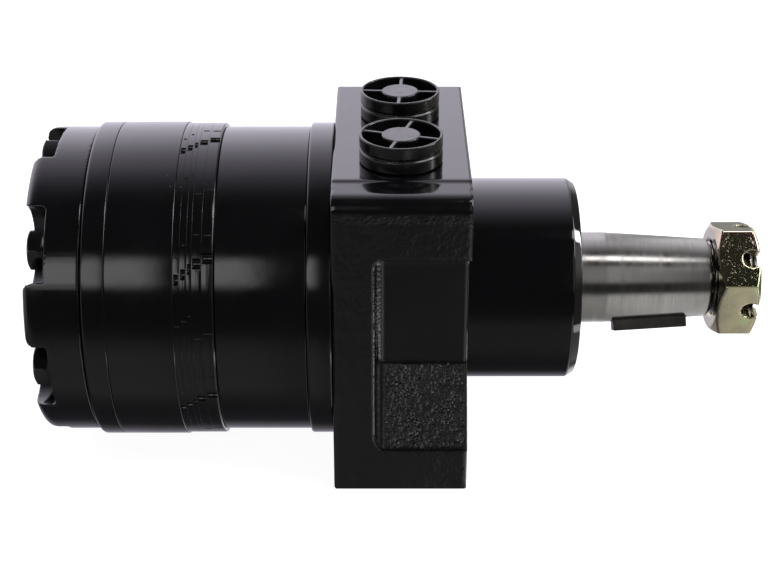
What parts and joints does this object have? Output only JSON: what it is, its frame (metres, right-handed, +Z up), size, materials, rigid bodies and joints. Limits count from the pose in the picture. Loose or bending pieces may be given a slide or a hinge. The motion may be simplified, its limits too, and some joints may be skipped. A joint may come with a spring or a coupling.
{
  "type": "hydraulic motor",
  "caption": "Orbiting roller hydraulic motor with side-pocketed port block, bolted ring stack, tapered keyed shaft with slotted nut, and two plugged top ports.",
  "frame": {"origin": "centre of the bounding box's footprint, level with the underside of the housing foot", "axes": "+X along the output shaft towards its threaded end, +Z up to the ports, -Y towards the front port"},
  "size_m": [0.246, 0.1094, 0.1195],
  "materials": {
    "black_paint": "gloss black enamel over machined and cast iron",
    "machined_steel": "fine turned steel",
    "bearing_steel": "ground bearing steel",
    "dark_steel": "satin black fastener steel",
    "yellow_zinc": "yellow zinc-chromate plate",
    "seal_rubber": "matte nitrile rubber",
    "black_plastic": "moulded black polyethylene"
  },
  "bodies": {
    "motor_body": {"housing": "black_paint", "end_cover": "black_paint", "commutator_ring": "black_paint", "manifold_body": "black_paint", "stator_ring": "black_paint", "wear_plate": "black_paint", "manifold_plate_1": "black_paint", "manifold_plate_2": "black_paint", "manifold_plate_3": "black_paint", "manifold_plate_4": "black_paint", "manifold_plate_5": "black_paint", "body_seal_1": "seal_rubber", "body_seal_2": "seal_rubber", "body_seal_3": "seal_rubber", "body_seal_4": "seal_rubber", "body_seal_5": "seal_rubber", "assembly_bolt_1": "black_paint", "assembly_bolt_2": "black_paint", "assembly_bolt_3": "black_paint", "assembly_bolt_4": "black_paint", "assembly_bolt_5": "black_paint", "assembly_bolt_6": "black_paint", "assembly_bolt_7": "black_paint", "front_bearing_race": "bearing_steel", "rear_bearing_race": "bearing_steel", "thrust_washer": "bearing_steel", "backup_washer": "machined_steel", "shaft_seal": "seal_rubber", "dust_seal": "seal_rubber", "port_plug_front": "black_plastic", "port_plug_rear": "black_plastic"},
    "output_shaft": {"output_shaft": "machined_steel", "shaft_key": "dark_steel", "castle_nut": "yellow_zinc"},
    "commutator": {"commutator": "bearing_steel", "commutator_seal": "seal_rubber"},
    "rotor": {"rotor": "bearing_steel"},
    "drive_link": {"drive_link": "machined_steel"},
    "front_bearing_needles": {"front_bearing_needles": "bearing_steel"},
    "rear_bearing_needles": {"rear_bearing_needles": "bearing_steel"},
    "thrust_bearing": {"thrust_bearing": "bearing_steel"},
    "roller_1": {"roller_1": "bearing_steel"},
    "roller_2": {"roller_2": "bearing_steel"},
    "roller_3": {"roller_3": "bearing_steel"},
    "roller_4": {"roller_4": "bearing_steel"},
    "roller_5": {"roller_5": "bearing_steel"},
    "roller_6": {"roller_6": "bearing_steel"},
    "roller_7": {"roller_7": "bearing_steel"}
  },
  "joints": [
    {"name": "shaft_rotation", "type": "hinge", "parent": "motor_body", "child": "output_shaft", "pos_m": [0.03165, 0, 0.0569], "axis": [1, 0, 0], "continuous": true},
    {"name": "commutator_orbit", "type": "hinge", "parent": "motor_body", "child": "commutator", "pos_m": [-0.09995, 0, 0.0569], "axis": [1, 0, 0], "continuous": true},
    {"name": "rotor_rotation", "type": "hinge", "parent": "commutator", "child": "rotor", "pos_m": [-0.04635, 0, 0.0536], "axis": [1, 0, 0], "continuous": true},
    {"name": "drive_link_rotation", "type": "hinge", "parent": "commutator", "child": "drive_link", "pos_m": [0.00865, 0, 0.0569], "axis": [0.9982, 0, 0.0599], "continuous": true},
    {"name": "roller_1_rotation", "type": "hinge", "parent": "motor_body", "child": "roller_1", "pos_m": [-0.04635, -0.01519, 0.08843], "axis": [1, 0, 0], "continuous": true},
    {"name": "roller_2_rotation", "type": "hinge", "parent": "motor_body", "child": "roller_2", "pos_m": [-0.04635, -0.03412, 0.06469], "axis": [1, 0, 0], "continuous": true},
    {"name": "roller_3_rotation", "type": "hinge", "parent": "motor_body", "child": "roller_3", "pos_m": [-0.04635, -0.02736, 0.03508], "axis": [1, 0, 0], "continuous": true},
    {"name": "roller_4_rotation", "type": "hinge", "parent": "motor_body", "child": "roller_4", "pos_m": [-0.04635, 0, 0.0219], "axis": [1, 0, 0], "continuous": true},
    {"name": "roller_5_rotation", "type": "hinge", "parent": "motor_body", "child": "roller_5", "pos_m": [-0.04635, 0.02736, 0.03508], "axis": [1, 0, 0], "continuous": true},
    {"name": "roller_6_rotation", "type": "hinge", "parent": "motor_body", "child": "roller_6", "pos_m": [-0.04635, 0.03412, 0.06469], "axis": [1, 0, 0], "continuous": true},
    {"name": "roller_7_rotation", "type": "hinge", "parent": "motor_body", "child": "roller_7", "pos_m": [-0.04635, 0.01519, 0.08843], "axis": [1, 0, 0], "continuous": true},
    {"name": "front_needles_rotation", "type": "hinge", "parent": "motor_body", "child": "front_bearing_needles", "pos_m": [0.02965, 0, 0.0569], "axis": [1, 0, 0], "continuous": true},
    {"name": "rear_needles_rotation", "type": "hinge", "parent": "motor_body", "child": "rear_bearing_needles", "pos_m": [0.00965, 0, 0.0569], "axis": [1, 0, 0], "continuous": true},
    {"name": "thrust_bearing_rotation", "type": "hinge", "parent": "motor_body", "child": "thrust_bearing", "pos_m": [-0.00455, 0, 0.0569], "axis": [1, 0, 0], "continuous": true}
  ],
  "couplings": [
    {"joint": "commutator_orbit", "follows": "shaft_rotation", "ratio": -6},
    {"joint": "rotor_rotation", "follows": "shaft_rotation", "ratio": 7},
    {"joint": "drive_link_rotation", "follows": "shaft_rotation", "ratio": 7},
    {"joint": "roller_1_rotation", "follows": "shaft_rotation", "ratio": -5.07},
    {"joint": "roller_2_rotation", "follows": "shaft_rotation", "ratio": -5.07},
    {"joint": "roller_3_rotation", "follows": "shaft_rotation", "ratio": -5.07},
    {"joint": "roller_4_rotation", "follows": "shaft_rotation", "ratio": -5.07},
    {"joint": "roller_5_rotation", "follows": "shaft_rotation", "ratio": -5.07},
    {"joint": "roller_6_rotation", "follows": "shaft_rotation", "ratio": -5.07},
    {"joint": "roller_7_rotation", "follows": "shaft_rotation", "ratio": -5.07},
    {"joint": "front_needles_rotation", "follows": "shaft_rotation", "ratio": 0.4525},
    {"joint": "rear_needles_rotation", "follows": "shaft_rotation", "ratio": 0.4525},
    {"joint": "thrust_bearing_rotation", "follows": "shaft_rotation", "ratio": 0.5}
  ]
}
